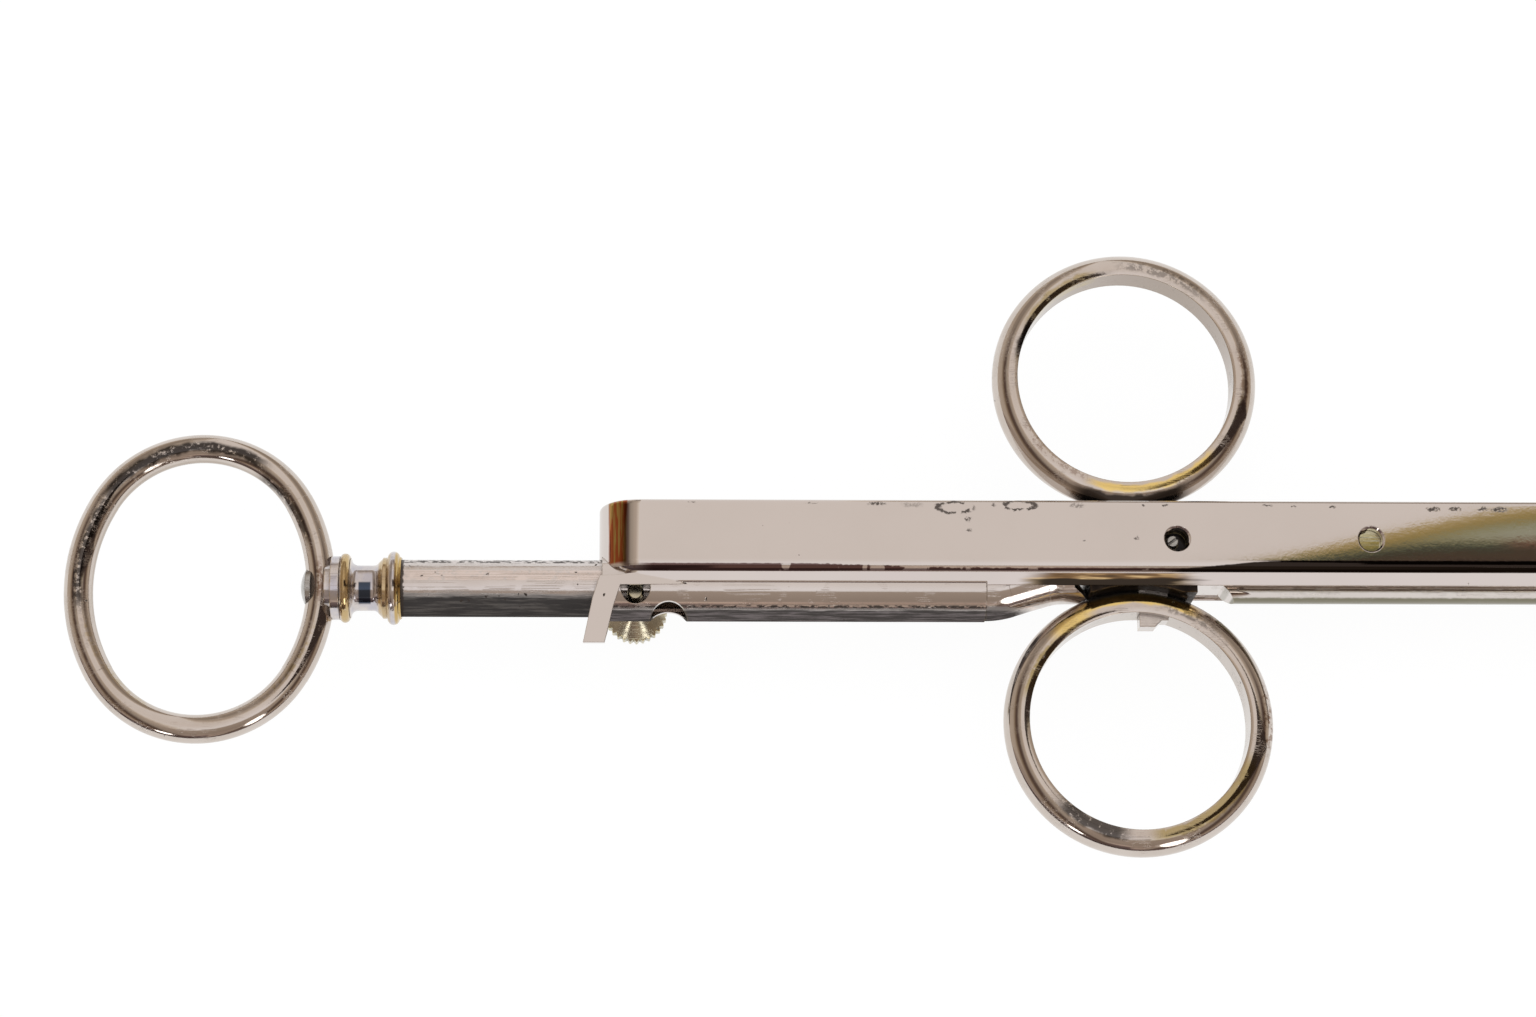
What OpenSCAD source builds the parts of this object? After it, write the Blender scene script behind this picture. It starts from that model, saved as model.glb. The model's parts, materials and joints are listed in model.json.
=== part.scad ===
// Tonsillotome: a ring guillotine worked by a thumb ring and two finger rings.
// X runs from the thumb ring to the guard ring, Y from the lower to the upper finger ring,
// and Z stands on the flat side on which the instrument lies. All sizes are in millimetres.

/* [Thumb ring] */
// Outside length of the oval thumb ring along the instrument
thumb_l = 32.6; // [30:0.1:40]
// Outside height of the oval thumb ring across the instrument
thumb_h = 38.3; // [34:0.1:46]
// Diameter of the thumb ring's round wire
thumb_wire = 3.5; // [2.5:0.1:4.5]
// How much tighter the oval's two ends curve than a plain half ring
thumb_round = 1.05; // [0.6:0.05:1.6]
// Radius of the rivet's shank through the ring
thumb_rivet_r = 1.1; // [0.8:0.1:1.3]
// Radius of the rivet's domed head inside the ring
thumb_head_r = 2.2; // [1.8:0.1:2.6]

/* [Neck] */
// Length of the turned neck between the thumb ring and the stem
neck_l = 8; // [7:0.1:12]
// Radius of the neck's bead beside the thumb ring
neck_bead_r = 4.2; // [3.6:0.1:5]
// Radius of the neck's waist
neck_waist_r = 2.75; // [2:0.05:3]
// Radius of the neck's bead beside the stem
neck_flange_r = 4.45; // [4:0.05:5.2]

/* [Stem] */
// Radius of the round stem
stem_r = 3.45; // [3.1:0.05:3.6]
// How far the stem reaches into the sleeve at rest
stem_grip = 1.6; // [1:0.1:2.4]
// Thickness of the flat guide bar inside the sleeve
guide_t = 2; // [1.5:0.1:2.2]
// Width of the flat guide bar
guide_w = 3.2; // [2.4:0.1:3.6]

/* [Sleeve] */
// Wall thickness of the sleeve that slides over the stem
sleeve_wall = 0.45; // [0.35:0.01:0.6]
// Length of the sleeve
sleeve_l = 46.3; // [40:0.1:52]
// Length of the tapering tip soldered to the sleeve's end
tip_l = 12.5; // [9:0.1:14]
// Rise of the sleeve tip over its length
tip_rise = 2.1; // [1.5:0.05:2.6]
// Angle of the tip's two bends
tip_bend = 17; // [13:0.5:20]
// Radius of the tip's two bends
tip_bend_r = 8.5; // [7:0.5:9]
// Radius of the sight hole in the sleeve
sight_r = 1.8; // [1.4:0.1:2]
// Distance from the sleeve's end to the half-round notch
notch_x = 8; // [7:0.1:12]
// Radius of the half-round notch
notch_r = 2.35; // [1.5:0.05:2.8]
// Depth of the notch up from the sleeve's lower edge
notch_d = 1.7; // [1:0.05:1.9]

/* [Thumb screw] */
// Distance from the sleeve's end to the thumb screw's axis
screw_x = 4; // [3.4:0.1:4.6]
// How far the screw's axis lies below the stem's axis
screw_drop = 0.75; // [0.4:0.05:1]
// Radius of the screw's shank
shank_r = 1; // [0.8:0.05:1.1]
// Radius of the knurled head
head_r = 3.9; // [2.8:0.1:5]
// Width of the knurled rim
head_rim = 1.3; // [1:0.1:2]
// Number of knurl notches round the head
knurls = 30; // [16:1:40]

/* [Slide bar] */
// Length of the slide bar from its rounded nose to its open end
bar_l = 140.6; // [134:0.1:146]
// Width of the slide bar
bar_w = 10; // [9.6:0.1:12]
// Height of the slide bar's top above the stem's axis
bar_top = 10.05; // [9.6:0.05:11.5]
// Wall thickness of the slide bar
bar_wall = 1.15; // [0.9:0.05:1.2]
// Height at which the side walls start to roll in towards the bevelled lips
lip_top = 2.5; // [2.1:0.05:2.9]
// Depth of the lips' edge below the stem's axis
lip_drop = 0.35; // [0.2:0.05:0.5]
// How far the prong hangs below the stem's axis
prong_drop = 7.6; // [6:0.1:10]
// Width of the prong at its tip
prong_w = 2.6; // [1.8:0.1:3.2]
// Radius of the two setting holes
hole_r = 1.4; // [1:0.05:1.6]
// Distance from the middle of the finger rings to the first setting hole
hole_x = 5.3; // [4:0.1:9]
// Height of the setting holes above the stem's axis
hole_y = 5.2; // [4.4:0.1:6]

/* [Finger rings] */
// Outside diameter of the finger rings
ring_d = 32.6; // [30:0.1:36]
// Inside radius of the finger rings
ring_bore_r = 13.3; // [12:0.1:13.6]
// Distance from the end of the sleeve's tip to the middle of the upper finger ring
ring_x = 5.3; // [4.2:0.1:8]
// How far the lower finger ring sits ahead of the upper one
ring_shift = 0.5; // [0:0.1:1]
// Gap between the rail's underside and the lower finger ring
ring_gap = 0.25; // [0.2:0.05:0.8]
// Length of the feet that carry the finger rings
foot_l = 15.4; // [12:0.1:18]
// Thickness of the lower ring's foot
foot_t = 1; // [0.7:0.05:1.4]

/* [Stroke] */
// Travel of the slide bar, which closes the ring knife
stroke = 23; // [22:0.5:24]
// Gap left between the sleeve and the neck at the end of the stroke
stop_gap = 1.2; // [0.8:0.1:2]

/* [Rail] */
// Gap between the end of the sleeve's tip and the rail
rail_gap = 0.9; // [0.5:0.1:2]
// Distance from the rail's start to its keel
keel_x = 15.4; // [12:0.1:20]
// Depth of the keel below the rail
keel_d = 1.6; // [1:0.1:2.2]
// Width of the keel
keel_w = 5; // [4:0.1:6]

/* [Guard ring] */
// Distance from the slide bar's open end to the middle of the guard ring
guard_reach = 52; // [46:0.5:62]
// Radius of the guard ring's opening
guard_bore_r = 10.5; // [9:0.1:10.6]
// Width of the guard ring's plates
guard_band = 3.7; // [3.4:0.1:5]
// Thickness of each guard plate
guard_t = 1; // [0.8:0.05:1.3]

/* [Ring knife] */
// Thickness of the ring knife and its strip
knife_t = 0.8; // [0.6:0.05:1]
// How far the knife's edge is drawn back behind the guard's edge
knife_set = 0.4; // [0.2:0.05:0.6]
// Width of the knife's ring
knife_band = 1.9; // [1.5:0.1:2.1]
// Width of the knife's strip
strip_w = 6; // [4:0.1:6.6]

/* [Fork] */
// Travel of the fork slide
fork_travel = 17; // [12:0.5:18]
// Distance from the slide bar's end back to the fork's push button
button_back = 17; // [14:0.5:20]
// Radius of the fork's push button
button_r = 3; // [2.4:0.1:3.6]
// Thickness of the fork slide
carrier_t = 2; // [1.6:0.1:2.6]
// Width of the fork slide
carrier_w = 4.8; // [4.4:0.1:5.6]
// Spacing of the fork's two prongs
tine_gap = 6.4; // [5:0.1:8]
// Width of each fork prong
tine_w = 1.1; // [0.8:0.05:1.4]
// Length of the fork's prongs
tine_l = 9; // [7:0.1:12]

/* [Fits] */
// Radial clearance of a shaft that turns or slides
run = 0.04; // [0.02:0.01:0.08]
// Clearance of pieces that are pressed, riveted or soldered together
seat = 0.02; // [0.01:0.005:0.04]
// Clearance between flat faces that slide
slip = 0.1; // [0.05:0.01:0.15]

/* [Hidden] */

$fn = 64;
past = 1;                       // how far a cutting tool runs past the face it cuts
lap = 0.5;                      // how far the pieces of a bent rod run into each other,
lap_step = 0.02;                // and how much slimmer the inner one is there

// Places along X
wire_r = thumb_wire / 2;
neck_x = thumb_l;
stem_x = neck_x + neck_l;
sleeve_x = stem_x + stroke + stop_gap;
stem_end = sleeve_x + stem_grip;
nose_x = sleeve_x - 0.4;
bar_end = nose_x + bar_l;
screw_at = sleeve_x + screw_x;
tip_x = sleeve_x + sleeve_l;
tip_end = tip_x + tip_l;
rings_x = tip_end + ring_x;
lower_x = rings_x + ring_shift;
hole_1 = rings_x + hole_x;
hole_2 = hole_1 + stroke + 0.55;
rail_x = tip_end + rail_gap;
guard_x = bar_end + guard_reach;
guard_r = guard_bore_r + guard_band;
rail_end = guard_x - guard_r - 8.8;
keel_start = rail_x + keel_x;
tip_of_guard = guard_x + guard_r;

// Slide bar section
half_w = bar_w / 2;
cavity = half_w - bar_wall;     // half width of the channel
cavity_top = bar_top - bar_wall;

// Sleeve
sleeve_bore = stem_r + run;
sleeve_r = sleeve_bore + sleeve_wall;

// Rail
rail_half = cavity - slip - 0.05;
rail_top = cavity_top - slip - 0.05;
strip_y = cavity_top - knife_t; // underside of the knife's strip
strip_x = bar_end - 9;
deck_y = strip_y - slip - 0.05; // rail and lower guard plate under the knife
deck_x = strip_x - stroke - 1;
tang_x = rail_end - 8;
plate_y = deck_y - guard_t;     // underside of the lower guard plate
roof_y = cavity_top + slip;     // underside of the upper guard plate

// Knife
knife_bore_r = guard_bore_r + knife_set;
knife_r = knife_bore_r + knife_band;
rim_bore_r = knife_r + 0.15;
rim_r = (rim_bore_r + guard_r) / 2;

// Finger rings
ring_r = ring_d / 2;
upper_y = bar_top + seat + ring_r;
lower_y = -ring_gap - ring_r;
ring_wall = ring_r - ring_bore_r;
ring_bulge = 2.25;              // radius of the rings' rounded outer face

// Screw
screw_y = -screw_drop;
boss_r = 2;
boss_z = -sleeve_r - 1.7;
head_z = boss_z - 2.8;          // front edge of the knurled rim

// Fork
carrier_y = -keel_d - slip;     // top of the fork slide
button_x = bar_end - button_back;
carrier_x = button_x - button_r;
pivot_x = rail_end + 2;
pivot_r = 0.7;
pivot_y = carrier_y - carrier_t / 2;
keeper_l = 3;
keeper_t = 0.9;
keeper_top = 4;
keeper_rear_x = bar_end + 5;
keeper_front_x = rail_end - keeper_l - 3;
tine_y = plate_y - 2.2;         // middle of the fork's prongs
tine_t = 0.9;
tine_x = guard_x - 7 - tine_l;  // root of the prongs
fork_half = tine_gap / 2 + tine_w / 2;

// Row frame: middle of the bounding box, standing on its lowest point
span_y = [lower_y - ring_r, upper_y + ring_r];
module placed() translate([-tip_of_guard / 2, -(span_y[0] + span_y[1]) / 2, guard_r]) children();

nickel = [0.80, 0.75, 0.70];
worn_brass = [0.82, 0.66, 0.36];
bright_steel = [0.74, 0.74, 0.75];
dark_steel = [0.55, 0.53, 0.51];

// Rod along X from x, centred on the stem's axis
module rod_x(x, l, r, r2 = -1) translate([x, 0, 0]) rotate([0, 90, 0])
    cylinder(h = l, r1 = r, r2 = r2 < 0 ? r : r2);
// Rod along Y from y
module rod_y(x, y, l, r, z = 0) translate([x, y, z]) rotate([-90, 0, 0]) cylinder(h = l, r = r);
// Rod along Z from z
module rod_z(x, y, z, l, r) translate([x, y, z]) cylinder(h = l, r = r);
// Section drawn in (Y, Z) and run along X
module run_x(x, l) translate([x, 0, 0]) rotate([90, 0, 90]) linear_extrude(l) children();
// Plan drawn in (X, Z) and thickened upwards in Y
module plate(y, t) translate([0, y + t, 0]) rotate([90, 0, 0]) linear_extrude(t) children();
// Block from corner to corner
module block(low, high) translate(low) cube(high - low);
// Points of an arc
function arc(c, r, a, b, n = 8) =
    [for (i = [0:n]) c + r * [cos(a + (b - a) * i / n), sin(a + (b - a) * i / n)]];
// Points of a low dome from its rim at (r, y) to its top, h further along s
function dome(r, y, h, s, n = 6) = let (big = (r * r + h * h) / (2 * h), turn = asin(r / big))
    [for (i = [0:n]) [big * sin(turn * (1 - i / n)), y + s * (h - big + big * cos(turn * (1 - i / n)))]];

// Oval of round wire: tight arcs above and below, wide arcs at the sides
half_l = thumb_l / 2 - wire_r;  // half width and half height of the wire's centre line
half_h = thumb_h / 2 - wire_r;
end_r = half_l - thumb_round;
end_y = half_h - end_r;
side_r = (half_l * half_l + end_y * end_y - end_r * end_r) / (2 * thumb_round);
side_turn = atan2(end_y, side_r - half_l);
end_lap = atan2(lap, end_r);
module wire_arc(r, a, turn, wire) rotate([0, 0, a])
    rotate_extrude(angle = turn, $fn = 96) translate([r, 0]) circle(wire, $fn = 32);
module thumb_wire_shape(wire) translate([thumb_l / 2, 0, 0]) for (s = [0, 180]) rotate([0, 0, s]) {
    translate([0, end_y, 0])
        wire_arc(end_r, side_turn - end_lap, 180 - 2 * side_turn + 2 * end_lap, wire - lap_step);
    translate([half_l - side_r, 0, 0]) wire_arc(side_r, -side_turn, 2 * side_turn, wire);
}

module thumb_ring() placed() color(nickel) difference() {
    thumb_wire_shape(wire_r);
    rod_x(thumb_l - thumb_wire - past, thumb_wire + 2 * past, thumb_rivet_r + seat);
}

// Riveted tenon of the neck: a domed head inside the ring and a shank into the neck
thumb_head_x = thumb_l - thumb_wire;
head_rise = 0.65;               // height of the domed head inside the ring
head_dome = 4.2;
rivet_depth = 3;
module thumb_ring_rivet() placed() color(dark_steel) difference() {
    union() {
        rod_x(thumb_head_x - 0.3, thumb_wire + rivet_depth, thumb_rivet_r);
        intersection() {
            translate([thumb_head_x - head_rise + head_dome, 0, 0]) sphere(head_dome);
            rod_x(thumb_head_x - 2, 2.6, thumb_head_r);
        }
    }
    difference() {
        thumb_wire_shape(wire_r + seat);
        rod_x(thumb_head_x - 1, thumb_wire + 2, thumb_rivet_r + 0.001);
    }
}

// Turned neck: collar bedded on the ring's wire, bead, cove, bead
core_r = neck_waist_r + 0.2;
collar_r = neck_bead_r - 0.35;
collar_x = 0.45;                // how far the collar reaches round the wire
bead_edge = 0.62;               // rounding of the bead beside the thumb ring
bead_x = 1.22;                  // middle of that bead
cove_r = 0.75;
flange_edge = 0.72;             // rounding of the bead beside the stem
flange_x = neck_l - 0.95;       // middle of that bead
module neck_baluster() placed() color(worn_brass) difference() {
    translate([neck_x, 0, 0]) rotate([0, 90, 0]) rotate_extrude() polygon(concat(
        [[0, -bead_x], [core_r, -bead_x], [core_r, -collar_x], [collar_r, -collar_x],
         [collar_r, bead_x - bead_edge], [neck_bead_r - 0.9, bead_x - bead_edge]],
        arc([neck_bead_r - bead_edge, bead_x], bead_edge, -80, 90, 8),
        [[neck_waist_r + 0.9, bead_x + bead_edge + 0.05]],
        arc([neck_waist_r + cove_r, 2 * bead_x + 0.3], cove_r, 250, 180, 5),
        [[neck_waist_r, flange_x - 2.95]],
        arc([neck_waist_r + cove_r, flange_x - 2.45], cove_r, 180, 120, 5),
        [[neck_flange_r - 0.95, flange_x - 1.4], [neck_flange_r - 0.75, flange_x - 1.25],
         [neck_flange_r - 0.75, flange_x - 0.8]],
        arc([neck_flange_r - flange_edge, flange_x], flange_edge, -80, 80, 8),
        [[stem_r + 0.25, neck_l], [0, neck_l]]));
    thumb_wire_shape(wire_r + seat);
    rod_x(neck_x - 2, 2 + rivet_depth - 0.3 + seat, thumb_rivet_r + seat);
}

// Stem with the blind key slot for the screw and the pocket of the guide bar
key_w = 2 * shank_r + 0.3;
key_tip = 1.9;
guide_y = screw_y + key_w / 2 + 0.05;
guide_grip = 8;
module stem() placed() color(dark_steel) difference() {
    rod_x(stem_x, stem_end - stem_x, stem_r);
    block([sleeve_x + screw_x - stroke - key_w / 2, screw_y - key_w / 2, -stem_r - past],
          [stem_end + past, screw_y + key_w / 2, key_tip]);
    block([stem_end - guide_grip - seat, guide_y - seat, -guide_w / 2 - seat],
          [stem_end + past, guide_y + guide_t + seat, guide_w / 2 + seat]);
}

// Flat bar through the sleeve from the stem to the rail
guide_tenon = 3;
module guide_bar() placed() color(dark_steel)
    block([stem_end - guide_grip, guide_y, -guide_w / 2],
          [rail_x + guide_tenon, guide_y + guide_t, guide_w / 2]);

// Rail inside the slide bar, with a rounded keel below and a lowered deck for the knife
module rail() placed() color(bright_steel) difference() {
    union() {
        run_x(rail_x, rail_end - rail_x) polygon(concat(
            arc([0.6, 0.6 - rail_half], 0.6, 180, 270, 4),
            [[rail_top, -rail_half], [rail_top, rail_half]],
            arc([0.6, rail_half - 0.6], 0.6, 90, 180, 4)));
        run_x(keel_start, rail_end - keel_start) intersection() {
            translate([-keel_d, -keel_w / 2]) square([keel_d + past, keel_w]);
            translate([2.2, 0]) circle(2.2 + keel_d);
        }
    }
    block([deck_x, deck_y, -half_w], [rail_end + past, bar_top, half_w]);
    block([tang_x - seat, plate_y, -half_w], [rail_end + past, bar_top, half_w]);
    translate([keel_start, 0, -half_w]) linear_extrude(bar_w)
        polygon([[-past, 0], [0, 0], [keel_d + past, -keel_d - past], [-past, -keel_d - past]]);
    block([rail_x - past, guide_y - seat, -guide_w / 2 - seat],
          [rail_x + guide_tenon + seat, guide_y + guide_t + seat, guide_w / 2 + seat]);
    rod_z(pin_x, hole_y, -rail_half - past, 2 * rail_half + 2 * past, pin_r + seat);
    for (s = [-1, 1]) translate([pin_x + pin_shift, hole_y, s * rail_half])
        cylinder(h = 2 * pin_well, r = hole_r, center = true);
    for (x = tang_rivets) rod_y(x, plate_y - 2.5 - seat, 4, tang_rivet_r + seat);
    for (x = [keeper_rear_x, keeper_front_x], s = [-1, 1])
        translate([x + keeper_l / 2, keeper_screw_y, s * (rail_half - 1.2)])
            cylinder(h = 2.8, r = keeper_screw_r + seat, center = true);
}

// Slotted pin seen through the first setting hole
pin_shift = 0.4;                // the pin stands this far behind the hole's middle
pin_x = hole_1 - pin_shift;
pin_r = 0.65;
pin_well = 1.2;                 // depth of the recess round its ends
module stop_pin() placed() color(dark_steel) difference() {
    rod_z(pin_x, hole_y, -rail_half, 2 * rail_half, pin_r);
    translate([pin_x, hole_y, rail_half]) rotate([0, 0, 35]) cube([4 * pin_r, 0.3, 0.8], center = true);
}

// Plan of the lower guard plate: ring, tang and the shoulders between them
tang_w = 2 * rail_half;
tang_rivet_r = 0.8;
tang_rivets = [tang_x + 2.2, tang_x + 5.8];
module lower_plan() {
    translate([guard_x, 0]) circle(guard_r, $fn = 128);
    polygon([[tang_x, tang_w / 2], [rail_end + 1, tang_w / 2], [guard_x - guard_r * 0.7, guard_r * 0.69],
             [guard_x - guard_r * 0.7, -guard_r * 0.69], [rail_end + 1, -tang_w / 2], [tang_x, -tang_w / 2]]);
}

module guard_lower() placed() color(nickel) difference() {
    union() {
        plate(plate_y, guard_t) lower_plan();
        // Raised rim round the far half, which keeps the knife between the plates
        plate(deck_y - seat, roof_y - deck_y + seat) difference() {
            translate([guard_x, 0]) circle(guard_r, $fn = 128);
            translate([guard_x, 0]) circle(rim_bore_r, $fn = 128);
            translate([guard_x - 2 * guard_r, -rim_bore_r]) square([2 * guard_r, 2 * rim_bore_r]);
        }
    }
    rod_y(guard_x, plate_y - past, guard_t + 2 * past, guard_bore_r, $fn = 128);
    guard_rivet_row(rivet_r + seat, plate_y - past, 6);
    for (x = tang_rivets) rod_y(x, plate_y - past, guard_t + 2 * past, tang_rivet_r + seat);
}

module guard_upper() placed() color(nickel) difference() {
    rod_y(guard_x, roof_y, guard_t, guard_r, $fn = 128);
    rod_y(guard_x, roof_y - past, guard_t + 2 * past, guard_bore_r, $fn = 128);
    guard_rivet_row(rivet_r + seat, plate_y - past, 6);
}

// Rivets along the rim
rivet_r = 0.38;
rivet_angles = [-72, -36, 0, 36, 72];
module guard_rivet_row(r, y, l)
    for (a = rivet_angles) rod_y(guard_x + rim_r * cos(a), y, l, r, rim_r * sin(a));

module guard_rivets() placed() color(worn_brass)
    guard_rivet_row(rivet_r, plate_y, roof_y + guard_t - plate_y);

module guard_tang_rivets() placed() color(worn_brass)
    for (x = tang_rivets) rod_y(x, plate_y - 2.5, guard_t + 2.5, tang_rivet_r);

// Straps that hold the fork slide against the rail's keel
keeper_screw_y = 2.2;
keeper_screw_r = 0.6;
keeper_low = carrier_y - carrier_t - slip - keeper_t;
module keeper(x) difference() {
    block([x, keeper_low, -rail_half - keeper_t], [x + keeper_l, keeper_top, rail_half + keeper_t]);
    block([x - past, keeper_low + keeper_t, -carrier_w / 2 - slip],
          [x + keeper_l + past, 0, carrier_w / 2 + slip]);
    block([x - past, -0.6, -rail_half - seat],
          [x + keeper_l + past, keeper_top + past, rail_half + seat]);
    block([x - past, -keel_d - slip, -keel_w / 2 - slip], [x + keeper_l + past, 0, keel_w / 2 + slip]);
    rod_z(x + keeper_l / 2, keeper_screw_y, -half_w - past, 2 * half_w + 2 * past, keeper_screw_r + seat);
}

module keeper_rear() placed() color(nickel) keeper(keeper_rear_x);
module keeper_front() placed() color(nickel) keeper(keeper_front_x);

// Small cheese-head screws of the keepers
cheese_r = 1.1;
cheese_h = 0.5;
module keeper_screws() placed() color(bright_steel)
    for (x = [keeper_rear_x, keeper_front_x], s = [-1, 1]) {
        translate([x + keeper_l / 2, keeper_screw_y, 0]) rotate([0, s < 0 ? 180 : 0, 0]) difference() {
            union() {
                rod_z(0, 0, rail_half - 2.4, 2.4 + keeper_t + seat, keeper_screw_r);
                rod_z(0, 0, rail_half + keeper_t + seat, cheese_h, cheese_r);
            }
            translate([0, 0, rail_half + keeper_t + cheese_h])
                cube([3 * cheese_r, 0.3, cheese_h], center = true);
        }
    }

// Section of the slide bar: an inverted channel with rounded edges and bevelled lips. Each side
// wall rolls in gently, then a crease and a steep step lead down to the bevel.
edge_r = 0.6;
lip_z = cavity + 0.05;
roll_r = 2.1;
roll_to = 110;
step_r = 6.55;
step_from = 133;
step_to = 140;
lip_roll = arc([lip_top, half_w - roll_r], roll_r, 90, roll_to, 3);
lip_step = concat(lip_roll,
    arc(lip_roll[3] - step_r * [cos(step_from), sin(step_from)], step_r, step_from, step_to, 2));
bevel_top = lip_step[len(lip_step) - 1][0];
bevel_z = lip_step[len(lip_step) - 1][1];
function half_section(z_sign) = [for (p = concat(
    arc([bar_top - edge_r, half_w - edge_r], edge_r, 0, 90, 4), lip_step,
    [[-lip_drop, lip_z], [-lip_drop, cavity], [cavity_top, cavity]])) [p[0], z_sign * p[1]]];
module bar_section() {
    polygon(concat(half_section(1), [[cavity_top, 0], [bar_top, 0]]));
    polygon(concat(half_section(-1), [[cavity_top, 0], [bar_top, 0]]));
}

// Rounded nose of the slide bar, open below for the stem
nose_c = nose_x + half_w;
module nose() difference() {
    rotate([90, 0, 0]) mirror([0, 0, 1]) rotate_extrude($fn = 96) polygon(concat(
        [[0, bar_top]], arc([half_w - edge_r, bar_top - edge_r], edge_r, 90, 0, 4),
        [for (p = lip_step) [p[1], p[0]]],
        [[lip_z, -lip_drop], [cavity, -lip_drop], [cavity, cavity_top], [0, cavity_top]]));
    block([0, -bar_top, -half_w - past], [half_w + past, bar_top + past, half_w + past]);
}

// Flat prong bent down from the front lip at the nose, running out into the bevel behind it
prong_z = stem_r + 0.2;
prong_lean = 1.85;              // how far its tip stands out in front of the nose
prong_flat = 2.8;               // where its face starts to run out, and over what length
prong_run = 10;
module prong() difference() {
    translate([0, 0, prong_z]) linear_extrude(bevel_z - prong_z) polygon([
        [nose_x + 0.1, bevel_top / 2], [nose_x + 2.2, bevel_top / 2 + 0.1],
        [nose_x + 5, bevel_top - 0.1], [nose_x + prong_flat + prong_run, bevel_top - 0.1],
        [nose_x + prong_flat + prong_run, -lip_drop + 0.05], [nose_x + 2.6, -lip_drop - 0.15],
        [nose_x + 1.8, -0.4 * prong_drop], [nose_x - prong_lean + prong_w, -prong_drop],
        [nose_x - prong_lean, -prong_drop], [nose_x - 0.75, -0.28 * prong_drop]]);
    translate([nose_x + prong_flat, -prong_drop - past, bevel_z])
        rotate([0, atan2(bevel_z - lip_z + 0.05, prong_run), 0]) cube([2 * prong_run, 2 * prong_drop, past]);
}

module slide_bar() placed() color(nickel) difference() {
    union() {
        run_x(nose_c, bar_end - nose_c) bar_section();
        translate([nose_c, 0, 0]) nose();
        prong();
    }
    rod_x(nose_x - past, nose_c - nose_x + past, stem_r + 0.12);
    rod_x(sleeve_x - seat, sleeve_l + 2 * seat, sleeve_r + seat);
    // Round cut in the back lip for the screw's boss
    rod_z(screw_at, screw_y, -half_w - past, half_w, boss_r + seat);
    for (x = [hole_1, hole_2]) {
        rod_z(x, hole_y, cavity - past, bar_wall + 2 * past, hole_r);
        translate([x, hole_y, half_w - 0.25]) cylinder(h = 0.5, r1 = hole_r, r2 = hole_r + 0.45);
    }
    for (x = knife_screw_x) rod_y(x, cavity_top - past, bar_wall + 2 * past, knife_screw_r + seat);
    rod_y(rings_x, cavity_top - past, bar_wall + 2 * past, upper_rivet_r + seat);
}

// Sleeve over the stem, with the sight hole, the screw's hole and the half-round notch
notch_c = -sleeve_r + notch_d - notch_r;
module sleeve() placed() color(nickel) difference() {
    rod_x(sleeve_x, sleeve_l, sleeve_r);
    rod_x(sleeve_x - past, sleeve_l + 2 * past, sleeve_bore);
    rod_z(screw_at, screw_y, 0, sleeve_r + past, sight_r);
    rod_z(screw_at, screw_y, -sleeve_r - past, sleeve_r + past, shank_r + run);
    rod_z(sleeve_x + notch_x, notch_c, -sleeve_r - past, 2 * sleeve_r + 2 * past, notch_r);
}

// Tip: a tube bent up between the lips and level again, cut away above them
tip_r = sleeve_r - 0.12;
tip_bore = tip_r - 0.6;
bend_rise = tip_bend_r * (1 - cos(tip_bend));
bend_l = tip_bend_r * sin(tip_bend);
slope_l = (tip_rise - 2 * bend_rise) / sin(tip_bend);
level_x = tip_x + 2 * bend_l + slope_l * cos(tip_bend);
module bent_rod(r) {
    rod_x(tip_x - past, past + lap, r - lap_step);
    translate([tip_x, tip_bend_r, 0]) rotate([0, 0, -90])
        rotate_extrude(angle = tip_bend) translate([tip_bend_r, 0]) circle(r);
    translate([tip_x + bend_l, bend_rise, 0]) rotate([0, 0, tip_bend])
        rod_x(-lap, slope_l + 2 * lap, r - lap_step);
    translate([level_x, tip_rise - tip_bend_r, 0]) rotate([0, 0, 90])
        rotate_extrude(angle = tip_bend) translate([tip_bend_r, 0]) circle(r);
    translate([0, tip_rise, 0]) rod_x(level_x - lap, tip_l, r - lap_step);
}
module sleeve_tip() placed() color(nickel) difference() {
    intersection() {
        bent_rod(tip_r);
        block([tip_x + seat, -sleeve_r, -cavity + seat], [tip_end, guide_y - 0.25, cavity - seat]);
    }
    bent_rod(tip_bore);
    translate([tip_end, 0, 0]) difference() {
        block([-1.8, -sleeve_r, -half_w], [past, 1, half_w]);
        rod_y(-3.2, -sleeve_r - past, 2 * sleeve_r, 3.2);
    }
    rod_z(lower_x, lower_y, -half_w, bar_w, ring_r + seat, $fn = 160);
}

// Threaded boss soldered to the back of the sleeve
module screw_boss() placed() color(nickel) difference() {
    rod_z(screw_at, screw_y, boss_z, -boss_z - 1, boss_r);
    rod_x(sleeve_x - past, sleeve_l, sleeve_r + seat);
    rod_z(screw_at, screw_y, boss_z - past, -boss_z + past, shank_r + run);
}

// Saddle that beds the upper ring on the slide bar
saddle_h = 0.75;
module ring_saddle_upper() placed() color(nickel) difference() {
    block([rings_x - foot_l / 2, bar_top, -1.7], [rings_x + foot_l / 2, bar_top + saddle_h, 1.7]);
    rod_z(rings_x, upper_y, -half_w, bar_w, ring_r + seat, $fn = 160);
    block([rings_x - 1.6, bar_top - past, -half_w], [rings_x + 1.6, bar_top + 3, half_w]);
}

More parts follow.
